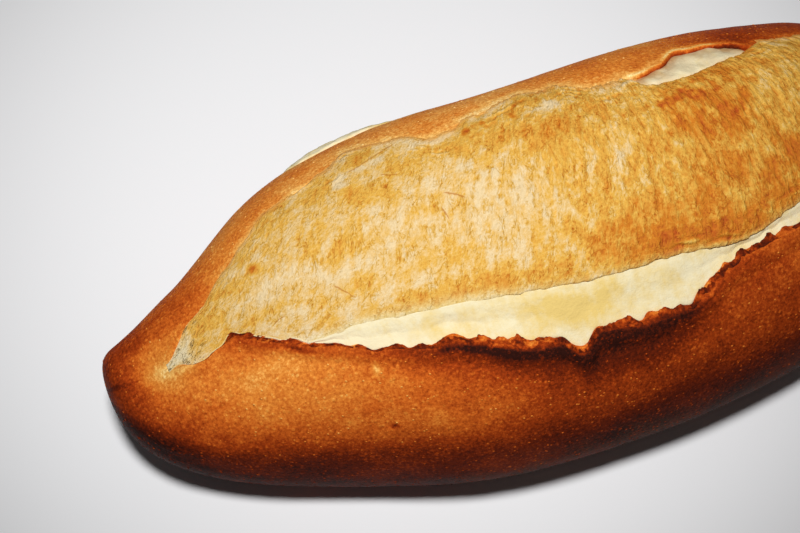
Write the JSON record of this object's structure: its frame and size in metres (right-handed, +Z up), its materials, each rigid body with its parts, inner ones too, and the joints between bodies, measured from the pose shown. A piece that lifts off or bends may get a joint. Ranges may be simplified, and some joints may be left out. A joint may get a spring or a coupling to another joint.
{
  "type": "bolillo roll",
  "caption": "Spindle-shaped crusty bread roll on a flat base, cut once along its top and burst wide open, with a torn crust lip, bare crumb and a golden bloom.",
  "frame": {"origin": "middle of the loaf's box in X and Y, on the flat base that it rests on", "axes": "+X along the loaf from the tip that the picture shows to the tip that it cuts off, +Y to the rear, +Z up"},
  "size_m": [0.166, 0.0712, 0.0546],
  "materials": {
    "crust": "baked crust, satin where it is dark and matt where it is pale",
    "bloom": "golden torn bloom, matt",
    "crumb": "bare white crumb, matt"
  },
  "bodies": {
    "root": {"bolillo": "crust"}
  },
  "joints": []
}
